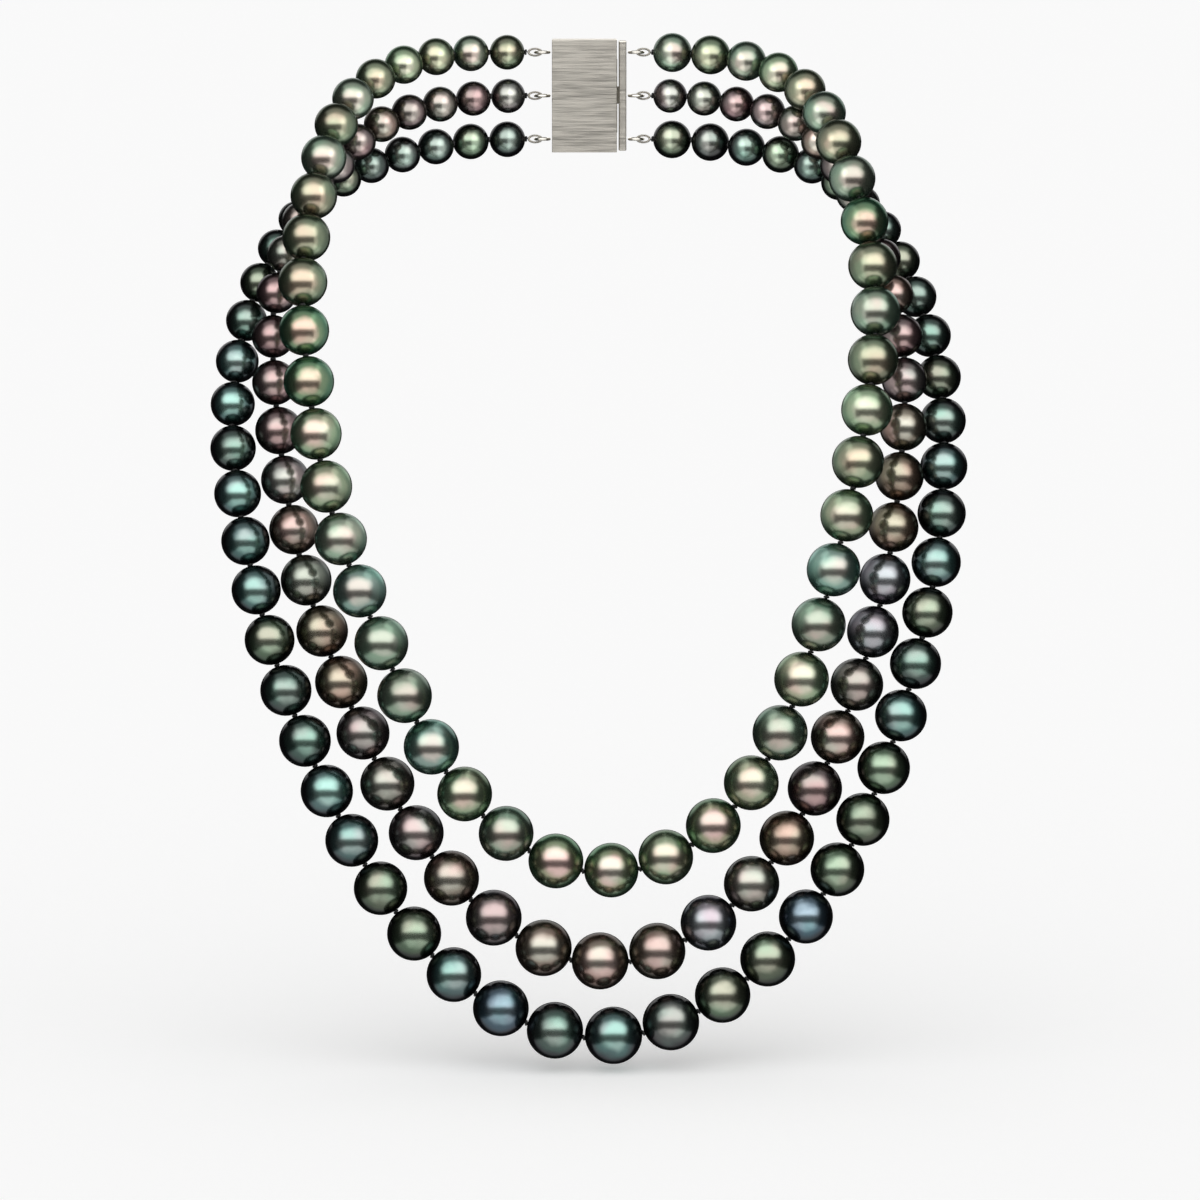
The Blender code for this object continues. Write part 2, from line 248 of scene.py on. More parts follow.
@dataclass(frozen=True)
class Nacre:
    """Polished nacre: stacked aragonite plates over a drilled bead.

    The plates give a deep satin reflection, and the smooth skin over them a
    faint sharp one.  The colour turns with the slant from a heart made paler as a
    painted highlight, through the body, to a rim darkened as a painted shade, and
    rose and green play over it in soft patches.
    """

    name: str
    lustre_roughness: float = 0.26
    lustre: float = 0.93           # share of light that the plates send back like a mirror
    slant_share: float = 0.4       # how much the plates still send back at a steep slant
    skin: float = 0.3              # share of the clear skin over the plates
    skin_roughness: float = 0.10
    skin_ior: float = 1.6          # aragonite
    body_slants: tuple[float, float] = (0.03, 0.24)   # where the body colour takes over
    rim_shade_slants: tuple[float, float] = (0.18, 0.55)    # where the rim colour, darkened as painted shade, takes over
    cloud_mm: float = 5.0          # width of the clouds, which move those slants
    cloud_drift: float = 0.07      # how far they move them
    orient: tuple[str, str] = ("#FFEFF0", "#F0FFF8")  # rose and green play over the colour
    orient_mm: float = 7.0         # width of the patches of that play
    orient_edges: tuple[float, float] = (0.35, 0.65)  # where one patch turns to the next
    orient_slice: float = 2.0      # fourth coordinate, so that patches aren't clouds
    ripple_mm: float = 1.6         # width of the growth ripples
    ripple_height_mm: float = 0.05
    ripple_strength: float = 0.04

    def material(self) -> bpy.types.Material:
        """Make the material; its three colours come from each pearl's own attributes, the heart's
        paled as a painted highlight and the rim's darkened as a painted shade.

        Returns:
            The nacre.
        """
        material, tree, shader = new_material(self.name)
        heart, body, rim = (add_node(tree, "ShaderNodeAttribute", {"attribute_name": name})
                            for name in TINT_NAMES)
        place = add_node(tree, "ShaderNodeTexCoord")
        slant = add_node(tree, "ShaderNodeLayerWeight", Blend=0.5)
        clouds = add_node(tree, "ShaderNodeTexNoise", Vector=place.outputs["Object"],
                          Scale=1 / (self.cloud_mm * MM), Detail=2.0)
        drift = add_node(tree, "ShaderNodeMapRange", Value=clouds.outputs["Fac"],
                         From_Min=NOISE_SPAN[0], From_Max=NOISE_SPAN[1],
                         To_Min=-self.cloud_drift, To_Max=self.cloud_drift)
        drifted = add_node(tree, "ShaderNodeMath", {"operation": "ADD"},
                           i0=slant.outputs["Facing"], i1=drift.outputs["Result"])
        # Blend by slant from the heart's painted highlight, through the body, to the rim's painted
        # shade.
        colour = heart.outputs["Color"]
        for tint, (start, full) in ((body, self.body_slants), (rim, self.rim_shade_slants)):
            share = add_node(tree, "ShaderNodeMapRange", {"interpolation_type": "SMOOTHSTEP"},
                             Value=drifted.outputs["Value"], From_Min=start, From_Max=full)
            mix = add_node(tree, "ShaderNodeMix", {"data_type": "RGBA"}, A=colour,
                           B=tint.outputs["Color"], Factor=share.outputs["Result"])
            colour = mix.outputs["Result"]
        patches = add_node(tree, "ShaderNodeTexNoise", {"noise_dimensions": "4D"},
                           Vector=place.outputs["Object"], W=self.orient_slice,
                           Scale=1 / (self.orient_mm * MM), Detail=1.0)
        patch = add_node(tree, "ShaderNodeMapRange", {"interpolation_type": "SMOOTHSTEP"},
                         Value=patches.outputs["Fac"], From_Min=self.orient_edges[0],
                         From_Max=self.orient_edges[1])
        rose, green = (linear(tint) for tint in self.orient)
        orient = add_node(tree, "ShaderNodeMix", {"data_type": "RGBA"}, A=rose, B=green,
                          Factor=patch.outputs["Result"])
        tinted = add_node(tree, "ShaderNodeMix", {"data_type": "RGBA", "blend_type": "MULTIPLY"},
                          A=colour, B=orient.outputs["Result"], Factor=1.0)
        ripples = add_node(tree, "ShaderNodeTexNoise", Vector=place.outputs["Object"],
                           Scale=1 / (self.ripple_mm * MM), Detail=1.0)
        bump = add_node(tree, "ShaderNodeBump", Height=ripples.outputs["Fac"],
                        Strength=self.ripple_strength, Distance=self.ripple_height_mm * MM)
        set_sockets(shader, Base_Color=tinted.outputs["Result"], Normal=bump.outputs["Normal"],
                    Metallic=self.lustre, Roughness=self.lustre_roughness,
                    Specular_Tint=(*[self.slant_share] * 3, 1.0),
                    IOR=self.skin_ior, Coat_Weight=self.skin,
                    Coat_Roughness=self.skin_roughness, Coat_IOR=self.skin_ior)
        return material


@dataclass(frozen=True)
class Metal:
    """White gold, cast or drawn, then polished, or satined by brushing along X."""

    name: str
    colour: str
    roughness: float
    grain_mm: tuple[float, float, float] = (0.6, 0.6, 0.6)   # size of a scratch or groove
    relief_mm: float = 0.001                                 # its depth
    wear: tuple[float, float] = (0.75, 1.3)      # least and most share of the roughness

    def material(self) -> bpy.types.Material:
        """Make the material, its roughness and relief broken up at the grain's scale.

        Returns:
            The metal.
        """
        material, tree, shader = new_material(self.name)
        place = add_node(tree, "ShaderNodeTexCoord")
        scaled = add_node(tree, "ShaderNodeMapping", Vector=place.outputs["Object"],
                          Scale=[1 / (size * MM) for size in self.grain_mm])
        grain = add_node(tree, "ShaderNodeTexNoise", Vector=scaled.outputs["Vector"],
                         Scale=1.0, Detail=4.0)
        rough = add_node(tree, "ShaderNodeMapRange", Value=grain.outputs["Fac"],
                         From_Min=NOISE_SPAN[0], From_Max=NOISE_SPAN[1],
                         To_Min=self.roughness * self.wear[0],
                         To_Max=self.roughness * self.wear[1])
        bump = add_node(tree, "ShaderNodeBump", Height=grain.outputs["Fac"], Strength=1.0,
                        Distance=self.relief_mm * MM)
        set_sockets(shader, Base_Color=linear(self.colour), Metallic=1.0,
                    Roughness=rough.outputs["Result"], Normal=bump.outputs["Normal"])
        return material


# Cast, filed and polished: deep reflections that fine scratches soften a little.
POLISHED_GOLD = Metal("polished_white_gold", colour="#DEDAD1", roughness=0.14)
# Brushed across the clasp: a grey sheen, drawn out up and down by the grooves, which are
# coarser here than an abrasive leaves them, so that they show.
SATINED_GOLD = Metal("satined_white_gold", colour="#D2CDC3", roughness=0.38,
                     grain_mm=(8.0, 0.3, 0.3), relief_mm=0.003)
# Hair-fine wire, coiled tight: a small soft glint on each turn.
GIMP_WIRE = Metal("french_wire", colour="#C4BFB5", roughness=0.28, grain_mm=(0.2, 0.2, 0.2))


@dataclass(frozen=True)
class Silk:
    """Black stringing silk, twisted and pulled tight: near-black with a dull sheen."""

    name: str = "black_stringing_silk"
    colour: str = "#0D0C0C"
    roughness: float = 0.55
    sheen: float = 0.3
    sheen_roughness: float = 0.4
    twist_mm: float = 3.14         # how far one turn of the plies runs along the line
    ply_height_mm: float = 0.05
    ply_strength: float = 0.4

    def material(self) -> bpy.types.Material:
        """Make the material, with the plies as slanted bands.

        Returns:
            The silk.
        """
        material, tree, shader = new_material(self.name)
        place = add_node(tree, "ShaderNodeTexCoord")
        turn = math.tau / 10       # length of a diagonal band's turn at a scale of one
        plies = add_node(tree, "ShaderNodeTexWave", {"bands_direction": "DIAGONAL"},
                         Vector=place.outputs["Object"], Distortion=1.0,
                         Scale=turn / (self.twist_mm * MM))
        bump = add_node(tree, "ShaderNodeBump", Height=plies.outputs["Fac"],
                        Strength=self.ply_strength, Distance=self.ply_height_mm * MM)
        set_sockets(shader, Base_Color=linear(self.colour), Roughness=self.roughness,
                    Sheen_Weight=self.sheen, Sheen_Roughness=self.sheen_roughness,
                    Normal=bump.outputs["Normal"])
        return material


# ---------------------------------------------------------------- strands
def smooth_line(points: list[Point], steps: int) -> np.ndarray:
    """Natural cubic spline through the points, with centripetal spacing.

    Args:
        points: the points that it passes through.
        steps: samples between two points.
    Returns:
        The samples, one row each.
    """
    places = np.array(points, float)
    count = len(places)
    spans = np.linalg.norm(np.diff(places, axis=0), axis=1) ** 0.5
    system = np.eye(count)
    pull = np.zeros((count, 3))
    for i in range(1, count - 1):
        before, after = spans[i - 1], spans[i]
        system[i, i - 1:i + 2] = before, 2 * (before + after), after
        slope_after = (places[i + 1] - places[i]) / after
        slope_before = (places[i] - places[i - 1]) / before
        pull[i] = 6 * (slope_after - slope_before)
    bend = np.linalg.solve(system, pull)
    line = []
    for i, span in enumerate(spans):
        slope = (places[i + 1] - places[i]) / span - span * (2 * bend[i] + bend[i + 1]) / 6
        for u in np.arange(steps) / steps * span:
            cubic = (bend[i + 1] - bend[i]) / (6 * span) * u
            line.append(places[i] + u * (slope + u * (bend[i] / 2 + cubic)))
    line.append(places[-1])
    return np.array(line)


def next_on_line(line: np.ndarray, at: int, here: np.ndarray, distance: float,
                 side: int) -> tuple[np.ndarray, int]:
    """First point of a line that is a straight distance away from a point.

    Args:
        line: the line's samples.
        at: the sample to start from.
        here: the point that the distance is measured from.
        distance: the straight distance.
        side: 1 to walk on along the line, -1 to walk back.
    Returns:
        The point, and the sample before it.
    """
    j = at
    while np.linalg.norm(line[j] - here) < distance:
        j += side
    near, far = line[j - side], line[j]
    step, lead = far - near, near - here
    a, b, c = step @ step, 2 * step @ lead, lead @ lead - distance * distance
    share = (-b + math.sqrt(max(b * b - 4 * a * c, 0.0))) / (2 * a)
    return near + share * step, j - side


@dataclass(frozen=True)
class Section:
    """A run of pearls between two hinge knots, named as its CAD node."""

    node: str
    places: range


@dataclass
class Strand:
    """A row of graduated pearls, knotted on silk along a route from box to tongue.

    Pearls are counted from the centre one, which is 0, and their places are
    negative on the box side.  Each knot lies half a place from its pearls.
    """

    name: str
    route: list[Point]
    graduation: tuple[tuple[float, float], ...]   # places and diameters, alike on both sides
    tails: tuple[tuple[int, float], tuple[int, float]]   # last pearl, box and tongue side
    lifts: tuple[float, float, float]   # knots that the front bends at, outermost first
    side_knot: float                    # knot that the wearer's left side bends at
    overtones: str                 # one letter a pearl, box side to tongue side
    centre: int = 10               # point of the route that the centre pearl is on
    knot_gap: float = 0.6          # silk between two pearls
    steps: int = 40                # samples between two points of the route
    longest_run: int = 6           # pearls in a run that never bends
    silk_radius: float = 0.35
    silk_facets: int = 8
    run_gap: float = 0.3           # clearance between two runs
    out_of_round: float = 0.006    # most that a pearl is off a true sphere
    depth_spread: float = 0.12     # how much lighter or darker a pearl may be
    knots: dict[float, Vector] = field(default_factory=dict)

    def diameter(self, place: int) -> float:
        """Read a pearl's size off the graduation.

        Args:
            place: the pearl's place.
        Returns:
            Its diameter.
        """
        tail = self.tails[0] if place < 0 else self.tails[1]
        places, sizes = zip(*self.graduation, tail)
        return float(np.interp(abs(place), places, sizes))

    def last(self, side: int) -> int:
        """Place of the last pearl before the clasp, without its sign, on side -1 or 1."""
        return self.tails[0][0] if side < 0 else self.tails[1][0]

    def thread(self) -> None:
        """Step the knots along the route, so that each pearl spans two of them."""
        line = smooth_line(self.route, self.steps)
        start = self.centre * self.steps
        for side in (-1, 1):
            reach = (self.diameter(0) + self.knot_gap) / 2
            here, at = next_on_line(line, start, line[start], reach, side)
            self.knots[side * 0.5] = Vector(here)
            for place in range(1, self.last(side) + 1):
                span = self.diameter(side * place) + self.knot_gap
                here, at = next_on_line(line, at, here, span, side)
                self.knots[side * (place + 0.5)] = Vector(here)

    def sections(self) -> list[Section]:
        """Cut the strand into its runs, as the CAD model does.

        Returns:
            The runs, from the front to the clasp.
        """
        upper, inside, lowest = self.lifts
        reach, near, low = math.floor(upper), math.ceil(inside), math.floor(lowest)
        between = range(low + 1, math.floor(inside) + 1)
        found = [
            Section(f"{self.name}_front_upper_right", range(-reach, -near + 1)),
            Section(f"{self.name}_front_upper_left", range(near, reach + 1)),
            Section(f"{self.name}_front_middle_right", range(-between[-1], -between[0] + 1)),
            Section(f"{self.name}_front_middle_left", between),
            Section(f"{self.name}_front_centre", range(-low, low + 1)),
            Section(f"{self.name}_nape", range(math.ceil(self.side_knot), self.last(1) + 1)),
        ]
        sides = {"right": range(-self.last(-1), -reach),
                 "left": range(reach + 1, math.ceil(self.side_knot))}
        for side, places in sides.items():
            pieces = math.ceil(len(places) / self.longest_run)
            for number, part in enumerate(np.array_split(list(places), pieces), 1):
                run = range(int(part[0]), int(part[-1]) + 1)
                found.append(Section(f"{self.name}_side_{side}_{number}", run))
        return found

    def pearls_mesh(self, section: Section, bead: bpy.types.Mesh, luck: random.Random
                    ) -> bmesh.types.BMesh:
        """All the pearls of a run, threaded between their knots.

        Args:
            section: the run.
            bead: a drilled bead of radius one.
            luck: seeded source of the small differences between pearls.
        Returns:
            The run's mesh, in millimetres.
        """
        mesh = bmesh.new()
        for place in section.places:
            low, high = self.knots[place - 0.5], self.knots[place + 0.5]
            radii = [self.diameter(place) / 2 * (1 + luck.uniform(-self.out_of_round,
                                                                  self.out_of_round))
                     for _ in range(3)]
            size = Matrix.Diagonal((*radii, 1))
            spin = Matrix.Rotation(luck.uniform(0, math.tau), 4, "Z")
            add_copy(mesh, bead, turned_to(high - low, (low + high) / 2) @ spin @ size)
        return mesh

    def colour_pearls(self, data: bpy.types.Mesh, section: Section, luck: random.Random) -> None:
        """Give each pearl of a run its own colours.

        Args:
            data: the run's finished mesh.
            section: the run.
            luck: seeded source of the small differences between pearls.
        """
        tints = {name: [] for name in TINT_NAMES}
        for place in section.places:
            overtone = OVERTONES[self.overtones[place + self.last(-1)]]
            depth = 1 + luck.uniform(-self.depth_spread, self.depth_spread)
            for name, tint in overtone.tints.items():
                tints[name].append([share * depth for share in linear(tint)[:3]] + [1.0])
        each = len(data.vertices) // len(section.places)
        for name, colours in tints.items():
            attribute = data.attributes.new(name, "FLOAT_COLOR", "POINT")
            attribute.data.foreach_set("color", np.repeat(np.array(colours), each, axis=0).ravel())

    def silk_mesh(self, section: Section, knot: bpy.types.Mesh) -> bmesh.types.BMesh:
        """The silk of a run, with the knots that are tied in it.

        Each pearl brings the knot before it, and the nape's last one also the knot
        at the clasp.

        Args:
            section: the run.
            knot: a tied knot along +Z.
        Returns:
            The silk's mesh, in millimetres.
        """
        mesh = bmesh.new()
        first, final = section.places[0], section.places[-1]
        tied = []
        for place in section.places:
            low, high = self.knots[place - 0.5], self.knots[place + 0.5]
            along = (high - low).normalized()
            tied.append((low, along))
            if place == final and section.node.endswith("nape"):
                tied.append((high, along))
            start = low + along * (self.run_gap / 2 if place == first else 0)
            end = high - along * (self.run_gap / 2 if place == final else 0)
            bmesh.ops.create_cone(mesh, cap_ends=True, segments=self.silk_facets,
                                  radius1=self.silk_radius, radius2=self.silk_radius,
                                  depth=(end - start).length,
                                  matrix=turned_to(along, (start + end) / 2))
        for centre, along in tied:
            add_copy(mesh, knot, turned_to(along, centre))
        return mesh

    def build(self, nacre: bpy.types.Material, silk: bpy.types.Material, bead: bpy.types.Mesh,
              knot: bpy.types.Mesh, seed: int) -> None:
        """Make every run's pearls and silk.

        Args:
            nacre: the finish of this strand's pearls.
            silk: the finish of the silk.
            bead: a drilled bead of radius one.
            knot: a tied knot along +Z.
            seed: where this strand's small differences start from.
        """
        self.thread()
        luck = random.Random(seed)
        for section in self.sections():
            body = frame["nodes"][section.node]["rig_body"]
            pearls = make_piece(f"{section.node}_pearls", self.pearls_mesh(section, bead, luck),
                                nacre, body, (section.node,))
            self.colour_pearls(pearls.data, section, luck)
            make_piece(f"{section.node}_silk", self.silk_mesh(section, knot), silk, body,
                       (section.node,))


def drilled_bead(segments: int = 48, rings: int = 24, drill: float = 0.1) -> bpy.types.Mesh:
    """A round bead of radius one, drilled through along Z.

    Args:
        segments: faces round it.
        rings: faces from pole to pole.
        drill: radius of the hole.
    Returns:
        The bead's mesh.
    """
    mesh = bmesh.new()
    bmesh.ops.create_uvsphere(mesh, u_segments=segments, v_segments=rings, radius=1)
    poles = [v for v in mesh.verts if math.isclose(abs(v.co.z), 1, abs_tol=1e-4)]
    mouth = {edge.other_vert(pole) for pole in poles for edge in pole.link_edges}
    bmesh.ops.delete(mesh, geom=poles, context="VERTS")
    for vert in mouth:
        flat = Vector((vert.co.x, vert.co.y, 0)).normalized() * drill
        vert.co = (flat.x, flat.y, math.copysign(math.sqrt(1 - drill ** 2), vert.co.z))
    rims = [edge for edge in mesh.edges if edge.is_boundary]
    bmesh.ops.bridge_loops(mesh, edges=rims)
    for edge in rims:
        edge.smooth = False
    bmesh.ops.recalc_face_normals(mesh, faces=mesh.faces)
    return keep_mesh("drilled_bead", mesh)


def tied_knot(thread: float = 0.19, coil: float = 0.5, rise: float = 0.13, turns: int = 2,
              steps: int = 18, facets: int = 5) -> bpy.types.Mesh:
    """A knot in the silk: two tight wraps round the line, which runs along Z.

    Args:
        thread: radius of the pulled thread.
        coil: radius of the wraps.
        rise: how far a wrap climbs.
        turns: number of wraps.
        steps: slices of the wraps.
        facets: faces round the thread, few because there are so many knots.
    Returns:
        The knot's mesh, in millimetres.
    """
    mesh = bmesh.new()
    start = Matrix.Translation((coil, 0, -rise * turns / 2)) @ Matrix.Rotation(math.pi / 2, 4, "X")
    bmesh.ops.create_circle(mesh, cap_ends=True, segments=facets, radius=thread, matrix=start)
    bmesh.ops.spin(mesh, geom=mesh.verts[:] + mesh.edges[:] + mesh.faces[:], axis=(0, 0, 1),
                   cent=(0, 0, 0), dvec=(0, 0, rise * turns / steps),
                   angle=math.tau * turns, steps=steps)
    bmesh.ops.recalc_face_normals(mesh, faces=mesh.faces)
    return keep_mesh("tied_knot", mesh)


STRANDS = (
    Strand(
        name="inner",
        route=[(-14.6, 60.6, 10), (-23, 59.5, 10), (-38, 51.5, 9), (-51.5, 37.5, 3),
               (-59, 19.5, -10), (-63, 3, -30), (-63, -7, -46), (-57, -20.5, -84),
               (-46, -28.5, -113), (-26.5, -31, -149), (5, -30.5, -165.5), (34.5, -30.5, -147.5),
               (50.5, -28, -110), (59, -21, -76), (63.5, -5, -44), (61.5, 8, -25),
               (57.5, 16.5, -12), (50, 36, 2), (36.5, 50, 8.5), (22.5, 58.2, 10),
               (14.6, 60.6, 10)],
        graduation=((0, 12.0), (4, 12.15), (8, 11.6), (12, 11.15), (16, 10.25), (19, 9.1)),
        tails=((23, 8.01), (22, 8.99)), lifts=(6.5, 4.5, 2.5), side_knot=17.5,
        overtones="OSOPOSO" "SOOOGGPPSFSSFPSR" "R" "PRPSPSFPOPOSOGS" "OSOPSOS"),
    Strand(
        name="middle",
        route=[(-14.6, 60.6, 0), (-22.5, 58.2, 0), (-37, 50.5, -2), (-52, 36, -8.5),
               (-67.5, 13.5, -32), (-70.5, 7, -49), (-69, 0.5, -71), (-63, -10.5, -102),
               (-49.5, -21, -136.5), (-31, -30, -166), (2.5, -37, -184.5), (37, -32, -166.5),
               (56, -22.5, -133.5), (65, -16, -104.5), (69.5, -6, -73), (70, 3, -53),
               (66, 12, -35), (52, 36, -8.5), (37, 50, -2), (22.5, 58.2, 0), (14.6, 60.6, 0)],
        graduation=((0, 12.45), (4, 12.1), (8, 11.5), (12, 10.6), (16, 8.6)),
        tails=((25, 7.94), (25, 7.85)), lifts=(5.5, 3.5, 1.5), side_knot=19.5,
        overtones="MATAWAMAT" "TAAAAMWTBBMTMWMW" "W" "WVTBAWTVVBBWMAWA" "MTAWTMATM"),
    Strand(
        name="outer",
        route=[(-14.6, 60.6, -10), (-22.5, 58.6, -10), (-37, 52, -11.5), (-52.5, 41.5, -16),
               (-64.5, 28.5, -24), (-74, 18, -39.5), (-79.5, 5, -64.5), (-75.5, -11.5, -96.5),
               (-63.5, -23.5, -134.5), (-33.5, -38, -183), (5.5, -43.5, -199.5),
               (46.5, -35, -176), (69, -25, -130), (78, -10, -90), (78, 7.5, -58),
               (74, 15.5, -44), (66.5, 26, -28.5), (52.5, 41.5, -15.5), (37, 52, -11.5),
               (22.5, 58.6, -10), (14.6, 60.6, -10)],
        graduation=((0, 12.5), (4, 11.9), (8, 11.45), (12, 10.75), (16, 9.6), (20, 8.1)),
        tails=((27, 8.3), (26, 8.78)), lifts=(4.5, 2.5, 1.5), side_knot=21.5,
        overtones="DEDCDEDE" "DEDKKDKKKEDDKKEEKND" "K" "CEENEEEKDEKDKDEDDE" "DCEDEDCE"),
)


# ---------------------------------------------------------------- clasp
@dataclass(frozen=True)
class Clasp:
    """A three-row box clasp: box and tongue, with jump rings and gimp loops."""

    rows: tuple[tuple[str, float], ...] = (("inner", 10.0), ("middle", 0.0), ("outer", -10.0))
    row_y: float = 60.6            # how far the rows lie behind the neck's axis
    ring_x: float = 10.85
    ring_radius: float = 1.6
    ring_wire: float = 0.35        # radius of the ring's wire
    ring_steps: int = 40
    gimp_x: tuple[float, float] = (11.0, 14.0)   # the loop's two ends
    gimp_half_height: float = 0.8
    gimp_coil: float = 0.22        # radius of the coil
    gimp_wire: float = 0.075       # radius of its wire
    gimp_pitch: float = 0.19
    gimp_points: int = 8           # points in one turn of the coil
    face_y: float = 64.6           # the box's outer face
    face_x: tuple[float, float] = (-8.6, 6.4)
    face_half_height: float = 13.0
    margin: float = 0.75           # from the face's edge to the row of beads
    bead: float = 0.22             # radius of a milgrain bead
    bead_pitch: float = 0.5
    flute_half: float = 0.62       # half the width of an oval flute
    flute_rise: float = 0.26       # how far a flute stands out of the face
    flute_facets: int = 24

    def milgrain_mesh(self) -> bmesh.types.BMesh:
        """A row of tiny beads round the edge of the box's outer face.

        Returns:
            The beads' mesh, in millimetres.
        """
        mesh = bmesh.new()
        left, right = self.face_x[0] + self.margin, self.face_x[1] - self.margin
        top = self.face_half_height - self.margin
        corners = [Vector(corner) for corner in ((left, self.face_y, -top),
                                                 (right, self.face_y, -top),
                                                 (right, self.face_y, top),
                                                 (left, self.face_y, top))]
        for start, end in zip(corners, corners[1:] + corners[:1]):
            count = round((end - start).length / self.bead_pitch)
            for i in range(count):
                bmesh.ops.create_icosphere(mesh, subdivisions=1, radius=self.bead,
                                           matrix=Matrix.Translation(start.lerp(end, i / count)))
        return mesh

    def flutes_mesh(self) -> bmesh.types.BMesh:
        """Oval flutes that run across the box's outer face, half sunk in it.

        Returns:
            The flutes' mesh, in millimetres.
        """
        mesh = bmesh.new()
        inset = self.margin + 2 * self.bead
        length = self.face_x[1] - self.face_x[0] - 2 * inset
        reach = self.face_half_height - inset - self.flute_half
        count = int(reach / self.flute_half) + 1
        lying = Matrix.Rotation(math.pi / 2, 4, "Y")
        for i in range(count):
            height = -reach + 2 * reach * i / (count - 1)
            placing = Matrix.Translation((0, 0, height)) @ lying
            made = bmesh.ops.create_cone(mesh, cap_ends=True, segments=self.flute_facets,
                                         radius1=self.flute_half, radius2=self.flute_half,
                                         depth=length, matrix=placing)
            fresh = set(made["verts"])
            ends = [edge for edge in mesh.edges if edge.verts[0] in fresh
                    and abs(edge.verts[0].co.x - edge.verts[1].co.x) < self.bead]
            bmesh.ops.bevel(mesh, geom=ends, offset=self.flute_half / 2, segments=3,
                            profile=0.5, affect="EDGES", material=-1)
        bmesh.ops.scale(mesh, vec=(1, self.flute_rise / self.flute_half, 1), verts=mesh.verts)
        bmesh.ops.translate(mesh, vec=(sum(self.face_x) / 2, self.face_y, 0), verts=mesh.verts)
        return mesh

    def ring_mesh(self, centre: Vector) -> bmesh.types.BMesh:
        """A soldered jump ring lying in the plane of X and Y.

        Args:
            centre: the ring's middle.
        Returns:
            The ring's mesh, in millimetres.
        """
        mesh = bmesh.new()
        upright = Matrix.Rotation(math.pi / 2, 4, "X")
        bmesh.ops.create_circle(mesh, segments=12, radius=self.ring_wire,
                                matrix=Matrix.Translation((self.ring_radius, 0, 0)) @ upright)
        bmesh.ops.spin(mesh, geom=mesh.verts[:] + mesh.edges[:], axis=(0, 0, 1),
                       cent=(0, 0, 0), angle=math.tau, steps=self.ring_steps, use_merge=True)
        bmesh.ops.recalc_face_normals(mesh, faces=mesh.faces)
        bmesh.ops.translate(mesh, vec=centre, verts=mesh.verts)
        return mesh

    def gimp_mesh(self, name: str, centre: Vector) -> bmesh.types.BMesh:
        """Coiled wire bent into the oval loop that guards the silk at a ring.

        Args:
            name: name of the working curve.
            centre: the loop's middle.
        Returns:
            The coil's mesh, in millimetres.
        """
        half_length = (self.gimp_x[1] - self.gimp_x[0]) / 2
        around = math.pi * (half_length + self.gimp_half_height)
        points = round(around / self.gimp_pitch) * self.gimp_points
        curve = bpy.data.curves.new(name, "CURVE")
        curve.dimensions = "3D"
        curve.bevel_depth = self.gimp_wire
        curve.bevel_resolution = 1
        spline = curve.splines.new("POLY")
        spline.points.add(points - 1)
        for i, point in enumerate(spline.points):
            loop = math.tau * i / points
            turn = math.tau * i / self.gimp_points
            outward = Vector((math.cos(loop), 0, math.sin(loop)))
            on_loop = centre + Vector((outward.x * half_length, 0,
                                       outward.z * self.gimp_half_height))
            wire = outward * math.cos(turn) + Vector((0, 1, 0)) * math.sin(turn)
            point.co = (*(on_loop + wire * self.gimp_coil), 1)
        spline.use_cyclic_u = True
        working = bpy.data.objects.new(name, curve)
        mesh = bmesh.new()
        mesh.from_mesh(bpy.data.meshes.new_from_object(working))
        bpy.data.objects.remove(working)
        return mesh

    def build(self, gold: bpy.types.Material, satin: bpy.types.Material,
              wire: bpy.types.Material) -> None:
        """Dress the CAD clasp and make its relief, rings and gimp.

        Args:
            gold: polished white gold.
            satin: satined white gold.
            wire: the gimp's wire.
        """
        dressed = {"clasp_box": satin, "clasp_back_plate": satin, "clasp_end_bar": satin,
                   "clasp_tongue": gold, "clasp_spring_leaf": gold, "clasp_thumb_tab": gold}
        for node, finish in dressed.items():
            frame["nodes"][node].data.materials[0] = finish
        body = frame["nodes"]["clasp_box"]["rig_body"]
        make_piece("clasp_milgrain", self.milgrain_mesh(), gold, body, ())
        make_piece("clasp_flutes", self.flutes_mesh(), gold, body, ())
        for side, half in ((-1, "box"), (1, "tongue")):
            for row, height in self.rows:
                body = frame["nodes"][f"{half}_ring_{row}"]["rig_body"]
                centre = Vector((side * self.ring_x, self.row_y, height))
                make_piece(f"{half}_jump_ring_{row}", self.ring_mesh(centre), gold, body,
                           (f"{half}_ring_{row}",))
                middle = side * sum(self.gimp_x) / 2
                name = f"{half}_gimp_coil_{row}"
                coil = self.gimp_mesh(name, Vector((middle, self.row_y, height)))
                make_piece(name, coil, wire, body, (f"{half}_gimp_{row}",))


